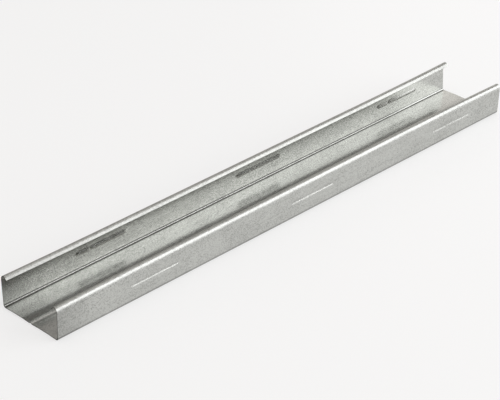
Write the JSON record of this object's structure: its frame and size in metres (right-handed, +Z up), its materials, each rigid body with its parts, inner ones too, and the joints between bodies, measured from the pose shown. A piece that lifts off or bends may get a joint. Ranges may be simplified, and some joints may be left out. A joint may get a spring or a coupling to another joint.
{
  "type": "ceiling channel",
  "caption": "Cold-rolled steel C-section channel with inward rolled lips, a bead along its web and short pressed grooves in both flanges, for carrying ceiling board.",
  "frame": {"origin": "middle of the web's underside, halfway along the length, at the level the channel rests on", "axes": "+X along the length towards the end that is further from the camera in the picture, +Y across the web from one flange to the other, +Z up out of the open side"},
  "size_m": [0.478, 0.0626, 0.027],
  "materials": {
    "galvanised_steel": "hot-dip galvanised sheet, fine even grain, semi-gloss"
  },
  "bodies": {
    "root": {"ceiling_channel": "galvanised_steel"}
  },
  "joints": []
}
